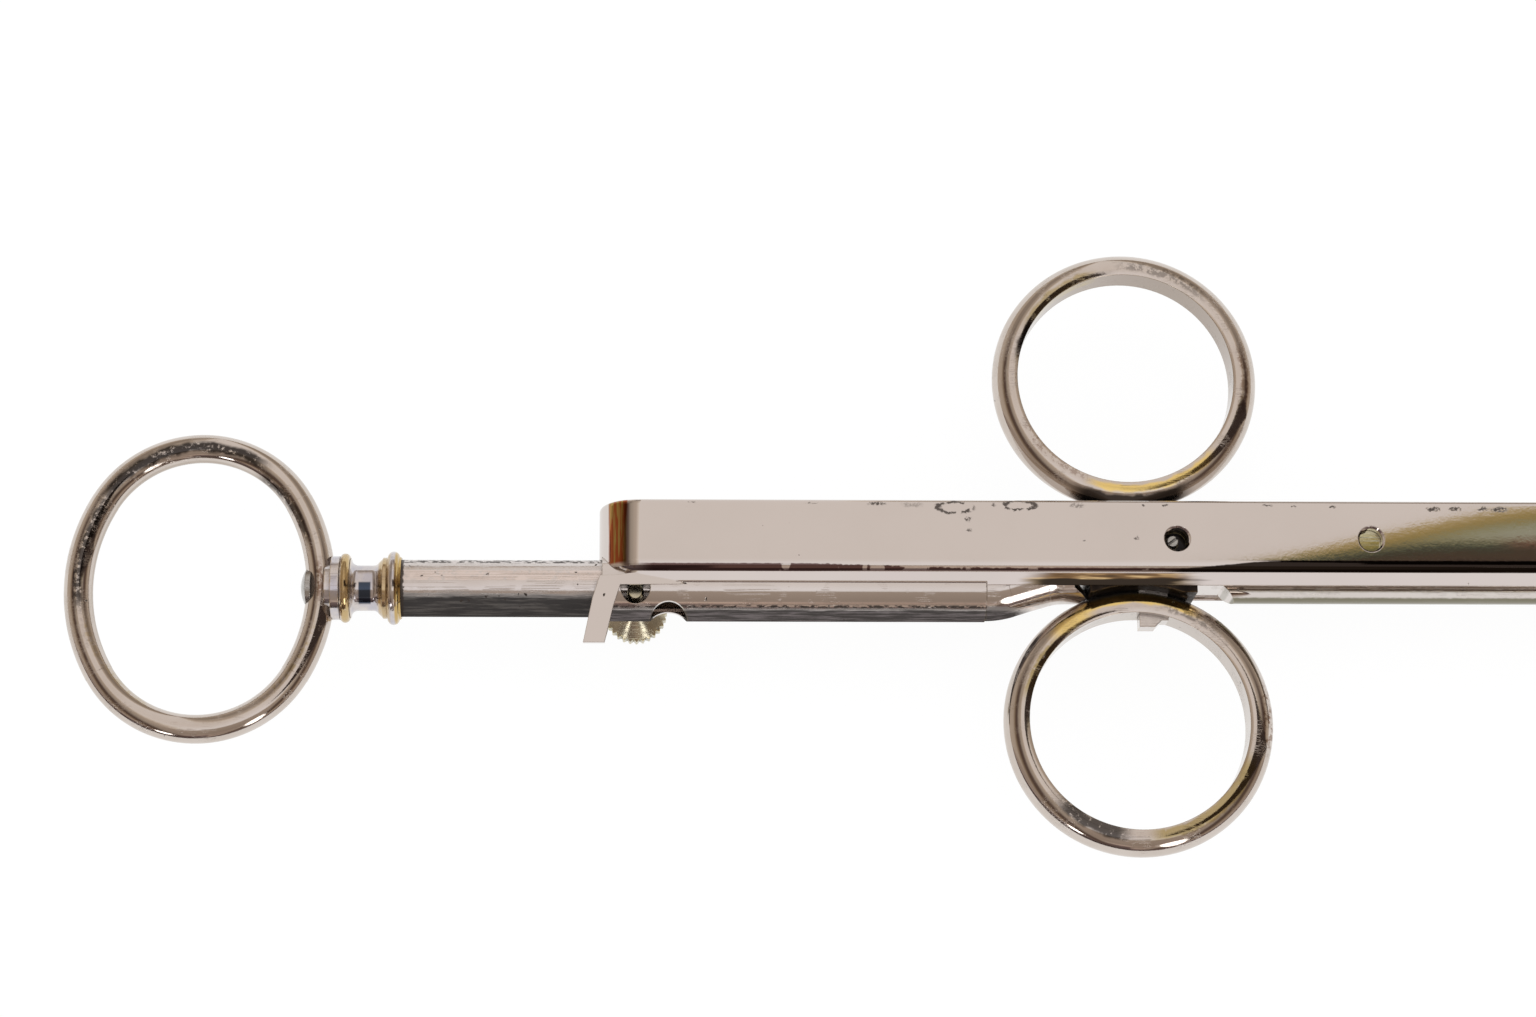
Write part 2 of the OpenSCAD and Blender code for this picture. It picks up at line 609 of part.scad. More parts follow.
// Foot soldered between the lips: a plate with a narrower bed under it for the lower ring
foot_top = -0.15;
bed_drop = 0.6;                 // how far the bed hangs below the plate
bed_w = 1.9;                    // half width of the bed
module ring_foot_lower() placed() color(worn_brass) difference() {
    union() {
        block([tip_end + seat, foot_top - foot_t, -cavity + seat],
              [rings_x + foot_l / 2, foot_top, cavity - seat]);
        block([tip_end + seat, foot_top - foot_t - bed_drop, -bed_w],
              [rings_x + foot_l / 2 - 1, foot_top - foot_t / 2, bed_w]);
    }
    rod_z(lower_x, lower_y, -half_w, bar_w, ring_r + seat, $fn = 160);
    block([lug_x - seat, lower_y, -lug_w / 2 - seat], [lug_x + lug_l + seat, 0, lug_w / 2 + seat]);
}

// Finger ring: flat inside, rounded outside
module finger_ring(x, y) translate([x, y, 0]) rotate_extrude($fn = 160) intersection() {
    translate([ring_r - ring_bulge, 0]) circle(ring_bulge, $fn = 48);
    translate([ring_bore_r, -ring_bulge]) square([ring_wall + past, 2 * ring_bulge]);
}

upper_rivet_r = 0.9;
module finger_ring_upper() placed() color(nickel) difference() {
    finger_ring(rings_x, upper_y);
    rod_y(rings_x, bar_top - past, ring_wall + 2 * past, upper_rivet_r + seat);
}

module upper_ring_rivet() placed() color(worn_brass)
    rod_y(rings_x, cavity_top, bar_wall + ring_wall - 0.1, upper_rivet_r);

module finger_ring_lower() placed() color(nickel) difference() {
    finger_ring(lower_x, lower_y);
    block([lug_x - seat, lower_y, -lug_w / 2 - seat], [lug_x + lug_l + seat, 0, lug_w / 2 + seat]);
}

// Square tenon of the foot, riveted inside the lower ring
lug_x = lower_x + 0.4;
lug_l = 3.5;
lug_w = 2.4;
lug_low = lower_y + ring_bore_r - 1.6;
module lower_ring_rivet() placed() color(nickel)
    translate([0, 0, -lug_w / 2]) linear_extrude(lug_w) polygon([
        [lug_x, foot_top], [lug_x + lug_l, foot_top], [lug_x + lug_l, lug_low + 0.8],
        [lug_x + lug_l - 0.8, lug_low + 0.8], [lug_x + lug_l - 1.6, lug_low], [lug_x, lug_low]]);

// Ring knife with its bevelled edge and the strip to the slide bar
knife_screw_r = 0.7;
knife_screw_x = [bar_end - 6, bar_end - 2.4];
module ring_knife() placed() color(bright_steel) difference() {
    union() {
        rod_y(guard_x, strip_y, knife_t, knife_r, $fn = 128);
        plate(strip_y, knife_t) polygon([
            [strip_x, strip_w / 2], [guard_x - knife_r - 4, strip_w / 2],
            [guard_x - knife_r * 0.7, knife_r * 0.6], [guard_x - knife_r * 0.7, -knife_r * 0.6],
            [guard_x - knife_r - 4, -strip_w / 2], [strip_x, -strip_w / 2]]);
    }
    rod_y(guard_x, strip_y - past, knife_t + 2 * past, knife_bore_r, $fn = 128);
    translate([guard_x, strip_y + knife_t + 0.01, 0]) rotate([90, 0, 0])
        cylinder(h = knife_t - 0.15, r1 = knife_bore_r + 0.75, r2 = knife_bore_r - 0.02, $fn = 128);
    for (x = knife_screw_x) rod_y(x, strip_y - past, knife_t + 2 * past, knife_screw_r + seat);
}

module knife_screws() placed() color(bright_steel)
    for (x = knife_screw_x) difference() {
        union() {
            rod_y(x, strip_y, knife_t + bar_wall + seat, knife_screw_r);
            rod_y(x, bar_top + seat, 0.6, 1.35);
        }
        translate([x, bar_top + 0.6, 0]) rotate([0, 35, 0]) cube([0.35, 0.6, 4], center = true);
    }

// Thumb screw: shank, cone and knurled rim
module thumb_screw() placed() color(worn_brass) translate([screw_at, screw_y, 0]) difference() {
    rotate_extrude() polygon(concat(
        [[0, 1.8], [shank_r - 0.2, 1.8], [shank_r, 1.6], [shank_r, boss_z - 0.3], [1.6, boss_z - 0.3],
         [1.7, boss_z - 0.9], [head_r - 0.35, head_z + 0.3], [head_r, head_z], [head_r, head_z - head_rim]],
        dome(head_r - 0.2, head_z - head_rim - 0.1, 0.5, -1)));
    for (i = [0:knurls - 1]) rotate([0, 0, i * 360 / knurls])
        translate([head_r, 0, head_z - head_rim - past]) rotate([0, 0, 45])
            translate([-0.13, -0.13, 0]) cube([0.5, 0.5, head_rim + past + 0.6]);
}

// Fork slide with its clevis
clevis_l = 5;
tongue_w = 2;
module fork_carrier() placed() color(bright_steel) difference() {
    union() {
        block([carrier_x, carrier_y - carrier_t, -carrier_w / 2], [pivot_x, carrier_y, carrier_w / 2]);
        rod_z(pivot_x, pivot_y, -carrier_w / 2, carrier_w, carrier_t / 2);
    }
    block([pivot_x - clevis_l / 2, carrier_y - carrier_t - past, -tongue_w / 2 - slip / 2],
          [pivot_x + clevis_l, carrier_y + past, tongue_w / 2 + slip / 2]);
    rod_z(pivot_x, pivot_y, -carrier_w, 2 * carrier_w, pivot_r + seat);
    rod_y(button_x, carrier_y - carrier_t - past, carrier_t + 2 * past, button_stem_r + seat);
}

// Push button of the fork slide, grooved round its edge
button_stem_r = 1;
module fork_button() placed() color(nickel)
    translate([button_x, carrier_y, 0]) rotate([90, 0, 0]) difference() {
        rotate_extrude() polygon(concat(
            [[0, 0], [button_stem_r, 0], [button_stem_r, carrier_t + seat], [1.9, carrier_t + seat],
             [1.5, carrier_t + 1.4], [button_r - 0.3, carrier_t + 2.4], [button_r, carrier_t + 2.7],
             [button_r, carrier_t + 3.9]],
            dome(button_r - 0.2, carrier_t + 4, 0.7, 1)));
        for (i = [0:23]) rotate([0, 0, i * 15]) translate([button_r, 0, carrier_t + 2.2])
            rotate([0, 0, 45]) translate([-0.12, -0.12, 0]) cube([0.5, 0.5, 3]);
    }

module fork_pivot_pin() placed() color(bright_steel)
    rod_z(pivot_x, pivot_y, -carrier_w / 2 - 0.2, carrier_w + 0.4, pivot_r);

// Two-pronged fork: side outline crossed with its plan
module fork_side() {
    translate([pivot_x, pivot_y]) circle(carrier_t / 2 - 0.05);
    polygon([
        [pivot_x, pivot_y - carrier_t / 2 + 0.1], [pivot_x + 2.2, pivot_y - carrier_t / 2 + 0.35],
        [tine_x - 1, tine_y - tine_t / 2 - 0.4], [tine_x, tine_y - tine_t / 2],
        [tine_x + tine_l - 2, tine_y - tine_t / 2], [tine_x + tine_l, tine_y],
        [tine_x + tine_l - 2, tine_y + tine_t / 2], [tine_x - 1.2, tine_y + tine_t / 2],
        [pivot_x + 1, pivot_y + carrier_t / 2 - 0.2], [pivot_x, pivot_y + carrier_t / 2 - 0.1]]);
}
function fork_edge() = [
    [pivot_x - 2, tongue_w / 2], [pivot_x + 1.4, tongue_w / 2], [tine_x - 1.2, fork_half],
    [tine_x + tine_l - 3.4, fork_half], [tine_x + tine_l - 3.7, fork_half + 0.5],
    [tine_x + tine_l, fork_half - tine_w / 2], [tine_x + tine_l - 2.6, fork_half - tine_w],
    [tine_x + 0.4, fork_half - tine_w], [tine_x, fork_half - tine_w - 0.4]];
module fork_plan() polygon(concat(fork_edge(),
    [for (i = [len(fork_edge()) - 1:-1:0]) [fork_edge()[i][0], -fork_edge()[i][1]]]));
module fork() placed() color(bright_steel) difference() {
    intersection() {
        translate([0, 0, -half_w]) linear_extrude(bar_w) fork_side();
        plate(keeper_low, 2 * half_w + bar_top) fork_plan();
    }
    rod_z(pivot_x, pivot_y, -tongue_w, 2 * tongue_w, pivot_r + run);
}

thumb_ring();
thumb_ring_rivet();
neck_baluster();
stem();
guide_bar();
rail();
stop_pin();
guard_lower();
guard_upper();
guard_rivets();
guard_tang_rivets();
keeper_rear();
keeper_front();
keeper_screws();
slide_bar();
sleeve();
sleeve_tip();
screw_boss();
ring_saddle_upper();
ring_foot_lower();
finger_ring_upper();
finger_ring_lower();
upper_ring_rivet();
lower_ring_rivet();
ring_knife();
knife_screws();
thumb_screw();
fork_carrier();
fork_button();
fork_pivot_pin();
fork();
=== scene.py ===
import json
import math

import bpy
from mathutils import Matrix, Vector

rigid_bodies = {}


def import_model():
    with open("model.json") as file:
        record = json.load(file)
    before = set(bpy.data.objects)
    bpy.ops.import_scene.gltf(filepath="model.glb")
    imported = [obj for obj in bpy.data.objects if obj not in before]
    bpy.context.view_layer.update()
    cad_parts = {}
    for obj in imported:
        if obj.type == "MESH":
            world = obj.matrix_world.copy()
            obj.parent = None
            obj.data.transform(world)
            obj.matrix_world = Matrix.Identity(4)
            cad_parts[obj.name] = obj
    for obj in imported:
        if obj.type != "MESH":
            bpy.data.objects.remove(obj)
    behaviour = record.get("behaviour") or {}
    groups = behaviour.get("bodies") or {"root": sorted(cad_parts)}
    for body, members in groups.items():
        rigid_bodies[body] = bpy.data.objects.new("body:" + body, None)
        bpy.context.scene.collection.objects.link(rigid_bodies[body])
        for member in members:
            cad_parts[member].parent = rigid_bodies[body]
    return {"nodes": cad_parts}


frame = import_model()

for spare in [o for o in bpy.data.objects if o.name in ("Cube", "Camera", "Light")]:
    bpy.data.objects.remove(spare)
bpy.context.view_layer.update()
nodes = frame["nodes"]
print("frame loaded:", len(nodes), "CAD pieces")

# Middle of the stem at the thumb ring's back edge, in the row frame, in mm
stemStart = (-135.6, -4.91, 14.2)
mmPerMetre = 1000.0
degreesPerRadian = 180 / math.pi


class Flow:                                   # a node's output that takes Python's arithmetic
    def __init__(self, bench, socket):
        self.bench, self.socket = bench, socket

    def maths(self, operation, *others):
        return self.bench.maths(operation, self, *others)

    def other(self, name):                    # another output of the same node
        return Flow(self.bench, self.socket.node.outputs[name])

    def __add__(self, value):
        return self.maths("ADD", value)

    def __sub__(self, value):
        return self.maths("SUBTRACT", value)

    def __rsub__(self, value):
        return self.bench.maths("SUBTRACT", value, self)

    def __mul__(self, value):
        return self.maths("MULTIPLY", value)

    def __truediv__(self, value):
        return self.maths("DIVIDE", value)

    def __rtruediv__(self, value):
        return self.bench.maths("DIVIDE", value, self)

    def __abs__(self):
        return self.maths("ABSOLUTE")

    def power(self, value):
        return self.maths("POWER", value)

    def atLeast(self, value):
        return self.maths("MAXIMUM", value)

    def atMost(self, value):
        return self.maths("MINIMUM", value)

    __radd__ = __add__
    __rmul__ = __mul__


class Bench:                                  # makes the nodes of one tree
    def __init__(self, tree):
        self.tree = tree
        tree.nodes.clear()

    def put(self, kind, settings=None, inputs=None, out=0):
        item = self.tree.nodes.new("ShaderNode" + kind)
        for name, value in (settings or {}).items():
            if name == "stops":
                fillRamp(item.color_ramp, value)
            else:
                setattr(item, name, value)
        for name, value in (inputs or {}).items():
            if isinstance(value, Flow):
                self.tree.links.new(value.socket, item.inputs[name])
            else:
                item.inputs[name].default_value = value
        return Flow(self, item.outputs[out]) if item.outputs else None

    def maths(self, operation, *values):
        return self.put("Math", {"operation": operation}, dict(enumerate(values)))

    def vector(self, operation, *values, out="Vector"):
        return self.put("VectorMath", {"operation": operation}, dict(enumerate(values)), out)

    def split(self, vector):                  # a vector's x, y and z
        x = self.put("SeparateXYZ", None, {0: vector})
        return x, x.other("Y"), x.other("Z")

    def stretch(self, vector, scale):
        return self.vector("MULTIPLY", vector, scale)

    def step(self, value, low, high):         # 0 below low, 1 above high, smooth between
        return self.put("MapRange", {"interpolation_type": "SMOOTHSTEP"},
                        {"Value": value, "From Min": low, "From Max": high})

    def fall(self, value, low, high):         # 1 below low, 0 above high
        return 1 - self.step(value, low, high)

    def band(self, value, low, high, soft):   # 1 from low to high
        rising = self.step(value, low - soft, low + soft)
        return rising * self.fall(value, high - soft, high + soft)

    def blend(self, factor, a, b, kind="MIX"):
        return self.put("Mix", {"data_type": "RGBA", "blend_type": kind, "clamp_factor": True},
                        {0: factor, 6: colour(a), 7: colour(b)}, out=2)

    def ramp(self, stops, place):
        return self.put("ValToRGB", {"stops": stops}, {0: place})

    def noise(self, vector, scale, detail=2.0, rough=0.5):
        return self.put("TexNoise", None, {"Vector": vector, "Scale": scale, "Detail": detail,
                                           "Roughness": rough})

    def wander(self, value, noise, much):     # moves a value up and down with a noise
        return value + (noise - 0.5) * much


def colour(value):
    return value if isinstance(value, Flow) or len(value) == 4 else (*value, 1.0)


def fillRamp(ramp, stops):
    while len(ramp.elements) < len(stops):
        ramp.elements.new(1.0)
    for element, (place, shade) in zip(ramp.elements, stops):
        element.position, element.color = place, colour(shade)


# Lens and sensor in mm, place and clipping in metres, and where the camera's own axes point
cameraSetup = dict(
    lens=89.06, sensor=36.0, clip=(0.01, 20.0), place=(-0.06656, -0.114855, 0.46132),
    right=(0.99941, -0.00569, 0.03395), up=(-0.00331, 0.9658, 0.25926),
    back=(-0.03427, -0.25922, 0.96521))


def makeCamera(setup):
    data = bpy.data.cameras.new("viewCamera")
    data.lens, data.sensor_width, data.sensor_fit = setup["lens"], setup["sensor"], "HORIZONTAL"
    data.clip_start, data.clip_end = setup["clip"]
    camera = bpy.data.objects.new("viewCamera", data)
    axes = Matrix((setup["right"], setup["up"], setup["back"])).transposed()
    turn = axes.to_quaternion().to_matrix().to_4x4()
    camera.matrix_world = Matrix.Translation(setup["place"]) @ turn
    bpy.context.scene.collection.objects.link(camera)
    bpy.context.scene.camera = camera


makeCamera(cameraSetup)
print("camera set")

# The room as polished metal mirrors it: a bright ceiling panel, darker sides round it, and a
# forward side. Angles are degrees off the zenith, across towards the right and back to the rear
roomSetup = dict(
    left=-8.0, right=21.0, front=-20.0, back=88.0,        # the panel's edges
    rampSpan=90.0, panelStart=-25.0,                      # where the stops below lie, in degrees
    panel=[(0.0, (0.96, 0.92, 0.90)), (0.12, (1.0, 0.97, 0.98)), (0.30, (0.93, 0.88, 0.86)),
           (0.46, (0.88, 0.82, 0.78)), (1.0, (0.90, 0.85, 0.82))],
    sides=[(0.0, (1.0, 1.0, 1.0)), (0.03, (0.86, 0.78, 0.70)), (0.074, (0.58, 0.49, 0.41)),
           (0.20, (0.42, 0.36, 0.30)), (0.30, (0.13, 0.09, 0.075)), (0.41, (0.12, 0.08, 0.06)),
           (0.50, (0.32, 0.24, 0.17)), (0.60, (0.54, 0.46, 0.38)), (0.86, (0.60, 0.52, 0.44))],
    # towards the back the sides are never darker than this
    sidesLift=dict(back=(25.0, 50.0), shade=(0.36, 0.30, 0.25)),
    forward=[(0.0, (1.0, 1.0, 1.0)), (0.03, (0.46, 0.38, 0.32)), (0.36, (0.38, 0.31, 0.26)),
             (0.43, (0.40, 0.32, 0.27)), (0.455, (0.62, 0.50, 0.42)), (0.475, (0.62, 0.50, 0.42)),
             (0.52, (0.22, 0.16, 0.15)), (0.75, (0.07, 0.05, 0.048))],
    # further right the dark end of the forward side starts lower down
    retreat=dict(across=(2.6, 5.2), beyond=(38.0, 52.0), degrees=13.0),
    ripple=dict(noise=(3.0, 3.0), degrees=8.0, fades=(0.0, 9.0)),
    # a coloured gap in the panel towards the right, with a dark gap in its foot: where it starts
    # across, and its front edge, which moves forward as the gap widens
    opening=dict(starts=(8.2, 9.0), widens=(8.8, 11.5), frontAt=13.9, frontTo=-8.0,
                 soft=(-0.4, 0.1)),
    # how high each gap's upper edge is, over which degrees across it rises and by how much, and
    # how many degrees of depth the stops cover
    gap=dict(top=14.17, rises=(8.0, 14.6), rise=1.0, ripple=0.008, depth=0.60, stops=[
        (0.0, (1.0, 1.0, 1.0)), (0.05, (0.68, 0.57, 0.38)), (0.10, (0.54, 0.42, 0.20)),
        (0.23, (0.41, 0.29, 0.09)), (0.35, (0.34, 0.26, 0.09)), (0.48, (0.33, 0.33, 0.20)),
        (0.67, (0.43, 0.44, 0.34)), (1.0, (0.36, 0.36, 0.28))]),
    darkGap=dict(top=14.2, rises=(8.3, 12.8), rise=0.435, ripple=0.008, depth=0.42, stops=[
        (0.0, (1.0, 1.0, 1.0)), (0.07, (0.55, 0.45, 0.28)), (0.14, (0.25, 0.22, 0.11)),
        (0.32, (0.075, 0.10, 0.075)), (0.5, (0.055, 0.045, 0.03)), (0.69, (0.11, 0.075, 0.05)),
        (1.0, (0.05, 0.035, 0.03))]),
    # a red glow along the dark gap's upper edge: across, depth, softness and strength
    ember=dict(across=(13.1, 13.7), depth=(0.04, 0.15), soft=0.04, much=0.7,
               shade=(0.20, 0.05, 0.035)),
    fill=0.85)                                            # light on what doesn't mirror
white = (1.0, 1.0, 1.0, 1.0)


def makeRoom(setup):
    world = bpy.data.worlds.new("studio")
    world.use_nodes = True
    bpy.context.scene.world = world
    bench = Bench(world.node_tree)
    ray = bench.put("TexCoord", out="Generated")
    x, y, z = bench.split(ray)
    across = x.maths("ARCTAN2", z) * degreesPerRadian
    back = y.maths("ARCTAN2", z) * degreesPerRadian
    ripple = (bench.noise(ray, *setup["ripple"]["noise"]) - 0.5) * setup["ripple"]["degrees"]

    # how far a direction lies beyond the panel's edges
    beyondX = (across - setup["right"]).atLeast(setup["left"] - across).atLeast(0)
    beyondBack = (back - setup["back"]).atLeast(0)
    beyondFront = (setup["front"] - back).atLeast(0)
    retreat = setup["retreat"]
    retreating = (bench.step(across, *retreat["across"])
                  * bench.step(beyondFront, *retreat["beyond"]))
    beyondFront = beyondFront - retreating * retreat["degrees"]
    aside = (beyondX * beyondX + beyondBack * beyondBack).power(0.5)

    lift, span = setup["sidesLift"], setup["rampSpan"]
    rippled = aside + ripple * bench.step(aside, *setup["ripple"]["fades"])
    surround = bench.ramp(setup["sides"], rippled / span)
    surround = bench.blend(bench.step(back, *lift["back"]), surround, lift["shade"], "LIGHTEN")

    opening = setup["opening"]
    moved = bench.step(across, *opening["widens"]) * (opening["frontTo"] - opening["frontAt"])
    front = moved + opening["frontAt"]
    opened = bench.step(across, *opening["starts"]) * bench.step(back - front, *opening["soft"])

    def depthIn(gap):                         # degrees below the gap's upper edge
        top = bench.step(across, *gap["rises"]) * gap["rise"] + gap["top"]
        return top - back + ripple * gap["ripple"]

    gap, darkGap, ember = setup["gap"], setup["darkGap"], setup["ember"]
    gapDepth, darkDepth = depthIn(gap), depthIn(darkGap)
    layers = [(setup["panel"], (back - setup["panelStart"]) / span),
              (setup["forward"], beyondFront / span),
              (gap["stops"], gapDepth * opened / gap["depth"]),
              (darkGap["stops"], darkDepth * opened / darkGap["depth"])]
    for stops, place in layers:
        surround = bench.blend(1.0, surround, bench.ramp(stops, place), "DARKEN")
    glow = (bench.step(across, *ember["across"])
            * bench.band(darkDepth, *ember["depth"], ember["soft"]) * opened)
    surround = bench.blend(glow * ember["much"], surround, ember["shade"])

    direct = bench.put("LightPath", out="Is Camera Ray")
    mirrored = direct.other("Is Glossy Ray").atLeast(direct.other("Is Transmission Ray"))
    seen = bench.put("Background", None, {"Color": surround, "Strength": 1.0})
    fill = bench.put("Background", None, {"Color": white, "Strength": setup["fill"]})
    plain = bench.put("Background", None, {"Color": white, "Strength": 1.0})
    inner = bench.put("MixShader", None, {0: mirrored, 1: fill, 2: seen})
    outer = bench.put("MixShader", None, {0: direct, 1: inner, 2: plain})
    bench.put("OutputWorld", None, {"Surface": outer})


# White paper that glows where the camera or a mirror sees it, and still takes a faint shadow
floorSetup = dict(size=6.0, paper=(0.86, 0.86, 0.86), glow=1.04, shadow=0.12)


def makeFloor(setup):
    half = setup["size"] / 2
    corners = [(-half, -half, 0), (half, -half, 0), (half, half, 0), (-half, half, 0)]
    mesh = bpy.data.meshes.new("floor")
    mesh.from_pydata(corners, [], [(0, 1, 2, 3)])
    floor = bpy.data.objects.new("floor", mesh)
    bpy.context.scene.collection.objects.link(floor)
    material = bpy.data.materials.new("paperSweep")
    material.use_nodes = True
    bench = Bench(material.node_tree)
    light = bench.put("LightPath", out="Is Camera Ray")
    mirrored = light.atLeast(light.other("Is Glossy Ray"))
    direct = mirrored.atLeast(light.other("Is Transmission Ray"))
    paper = bench.put("BsdfDiffuse", None, {"Color": colour(setup["paper"])})
    glow = bench.put("Emission", None, {"Color": white, "Strength": setup["glow"]})
    surface = bench.put("MixShader", None, {0: direct * (1 - setup["shadow"]), 1: paper, 2: glow})
    bench.put("OutputMaterial", None, {"Surface": surface})
    mesh.materials.append(material)


# Lamps: one wide lamp overhead for the soft shadow, two small ones in front at either side
lamps = dict(
    overhead=dict(place=(0.0, 0.15, 1.1), size=(0.9, 0.9), radiance=0.9, mirrored=False),
    frontRight=dict(place=(0.34, -0.78, 0.40), size=(0.22, 0.42), radiance=2.6, mirrored=True),
    frontLeft=dict(place=(-0.45, -0.75, 0.28), size=(0.15, 0.15), radiance=4.0, mirrored=True))


def makeLamp(name, lamp):
    data = bpy.data.lights.new(name, "AREA")
    data.shape, data.size, data.size_y = "ELLIPSE", *lamp["size"]
    area = math.pi * lamp["size"][0] * lamp["size"][1] / 4
    data.energy = lamp["radiance"] * math.pi * area       # so a larger lamp isn't a dimmer one
    thing = bpy.data.objects.new(name, data)
    thing.location = lamp["place"]
    thing.rotation_euler = (-Vector(lamp["place"])).to_track_quat("-Z", "Y").to_euler()
    thing.visible_glossy = lamp["mirrored"]
    bpy.context.scene.collection.objects.link(thing)


makeRoom(roomSetup)
makeFloor(floorSetup)
for lampName, lamp in lamps.items():
    makeLamp(lampName, lamp)
bpy.context.scene.view_settings.view_transform = "Standard"
print("room, floor and lamps made")

# From here on a noise is given as its scale, detail and roughness, a mask's edge as where it
# starts and where it is full, and a band as low, high and softness. Places are in mm: x along
# the instrument from the thumb ring, y up the photo from the stem's middle, z towards the viewer.

# What all the metals share. Edge radius, crevice reach and bump distance are in metres
metalSetup = dict(
    front=(0.0, 0.4), cloud=(0.35, 0.68), cloudDetail=3.0, fine=(1.7, 4.0, 0.6), wobble=(1.3, 2.0),
    pitLeast=0.4, pitSoft=0.35, pitPick=0.01, pitDepth=0.9,
    lineShape=(0.05, 5.0, 5.0), lineNoise=(1.0, 1.0), lineWidth=0.03, lineCore=0.3,
    linePatch=(0.35, 2.0), lineEdge=(0.62, 0.72), lineDepth=0.25,
    samples=6, edgeRadius=0.0003, edgeTurn=(0.004, 0.06), edgeWorn=(0.38, 0.58),
    creviceReach=0.0012, creviceOpen=(0.25, 0.85), creviceBreakUp=(0.2, 0.55),
    brassRough=0.08, darkRough=0.3, lineRough=0.2, smoothest=0.015, roughest=0.9, darkMatt=0.5,
    bumpDistance=0.0001)


class Finish(Bench):                          # a metal's tree
    def __init__(self, name, recipe):
        self.recipe = recipe
        self.material = bpy.data.materials.new(name)
        self.material.use_nodes = True
        super().__init__(self.material.node_tree)
        point = self.put("TexCoord", out="Object")
        self.place = self.vector("MULTIPLY_ADD", point, (mmPerMetre,) * 3,
                                 tuple(-part for part in stemStart))
        self.x, self.y, self.z = self.split(self.place)
        self.front = self.step(self.z, *metalSetup["front"])          # 1 on the photo's side
        self.cloud = self.noise(self.place, recipe["cloudScale"], metalSetup["cloudDetail"])
        self.fine = self.noise(self.place, *metalSetup["fine"])
        shift = self.noise(self.place, *metalSetup["wobble"]).other("Color")
        self.wobble = self.vector("ADD", self.place, shift)

    def drawnOut(self, shape, noise):         # noise that is stretched along the axes
        return self.noise(self.stretch(self.place, shape), *noise)

    def speckle(self, scale, radius, share):  # round pits in a share of the cells
        least, soft, pick = metalSetup["pitLeast"], metalSetup["pitSoft"], metalSetup["pitPick"]
        cells = self.put("TexVoronoi", {"feature": "F1"}, {"Vector": self.wobble, "Scale": scale},
                         "Distance")
        chance = self.put("SeparateColor", None, {0: cells.other("Color")})
        size = radius * (least + (1 - least) * chance.other("Green"))
        chosen = self.step(chance, 1 - share - pick, 1 - share + pick)
        return self.fall(cells / size, 1 - soft, 1 + soft) * chosen

    def hairlines(self, share):               # long thin scratches
        lines = self.drawnOut(metalSetup["lineShape"], metalSetup["lineNoise"])
        patch = self.noise(self.place, *metalSetup["linePatch"])
        width, (low, high) = metalSetup["lineWidth"], metalSetup["lineEdge"]
        thin = self.fall(abs(lines - 0.5), width * metalSetup["lineCore"], width)
        return thin * self.step(patch, low - share, high - share)

    def rounded(self, radius):                # the normal as if the edges were rounded
        return self.put("Bevel", {"samples": metalSetup["samples"]}, {"Radius": radius})

    def edges(self):                          # 1 where an edge is near
        flat = self.put("NewGeometry", out="Normal")
        soft = self.rounded(metalSetup["edgeRadius"])
        match = self.vector("DOT_PRODUCT", soft, flat, out="Value")
        return self.step(1 - match, *metalSetup["edgeTurn"])

    def crevices(self):                       # 1 where other metal is close, for the painted shade in crevices
        openness = self.put("AmbientOcclusion", {"samples": metalSetup["samples"],
                                                 "only_local": False},
                            {"Distance": metalSetup["creviceReach"]}, "AO")
        return (self.fall(openness, *metalSetup["creviceOpen"])
                * self.step(self.fine, *metalSetup["creviceBreakUp"]))

    def spread(self, mask, shade):            # lays a shade over the tint where the mask is
        self.tint = self.blend(mask, self.tint, shade)

    def farFrom(self, point, middle, halfSizes):          # 1 on an ellipse round the middle
        offset = self.vector("SUBTRACT", point, (*middle, 0))
        scaled = self.stretch(offset, (1 / halfSizes[0], 1 / halfSizes[1], 0))
        return self.vector("LENGTH", scaled, out="Value")

    def done(self, rough, height):
        bump = self.put("Bump", None, {
            "Height": height, "Distance": metalSetup["bumpDistance"],
            "Strength": self.recipe["relief"], "Normal": self.rounded(self.recipe["round"])})
        shader = self.put("BsdfPrincipled", None, {
            "Base Color": self.tint, "Roughness": rough,
            "Metallic": 1 - self.matt * self.recipe["mattness"],
            "Specular IOR Level": 0.0, "Normal": bump})
        self.put("OutputMaterial", None, {"Surface": shader})
        return self.material


def plated(name, recipe):
    setup = metalSetup
    f = Finish(name, recipe)
    f.tint = f.blend(f.step(f.cloud, *setup["cloud"]) * recipe["cloud"],
                     recipe["plate"], recipe["shade"])
    wearAndHighlight = f.edges() * f.step(f.fine, *setup["edgeWorn"])
    f.brass = (wearAndHighlight * recipe["edgeBrass"]).atMost(1)
    pits = f.speckle(recipe["pitScale"], recipe["pitSize"], recipe["pitShare"])
    lines = f.hairlines(recipe["lineShare"]) * recipe["lines"]
    # pits hold dirt; the darkening in crevices is painted shade
    f.dark = pits.atLeast(f.crevices() * recipe["crevice"]).atMost(1)
    f.dull = f.brass * setup["brassRough"]
    f.matt = f.dark * setup["darkMatt"]       # dirt and the painted shade in crevices and on lower sides are less metallic than the plate
    for touch in recipe["touches"]:
        touch(f)
    f.spread(f.brass, recipe["brass"])
    # dirt in pits and marks, painted shade in crevices
    f.spread(f.dark, recipe["dirtAndShade"])
    rough = (f.wander(recipe["rough"], f.fine, recipe["roughSpread"])
             + f.dark * setup["darkRough"] + lines * setup["lineRough"] + f.dull)
    height = ((f.fine - 0.5) * recipe["grain"] - pits * setup["pitDepth"]
              - lines * setup["lineDepth"])
    return f.done(rough.atLeast(setup["smoothest"]).atMost(setup["roughest"]), height)


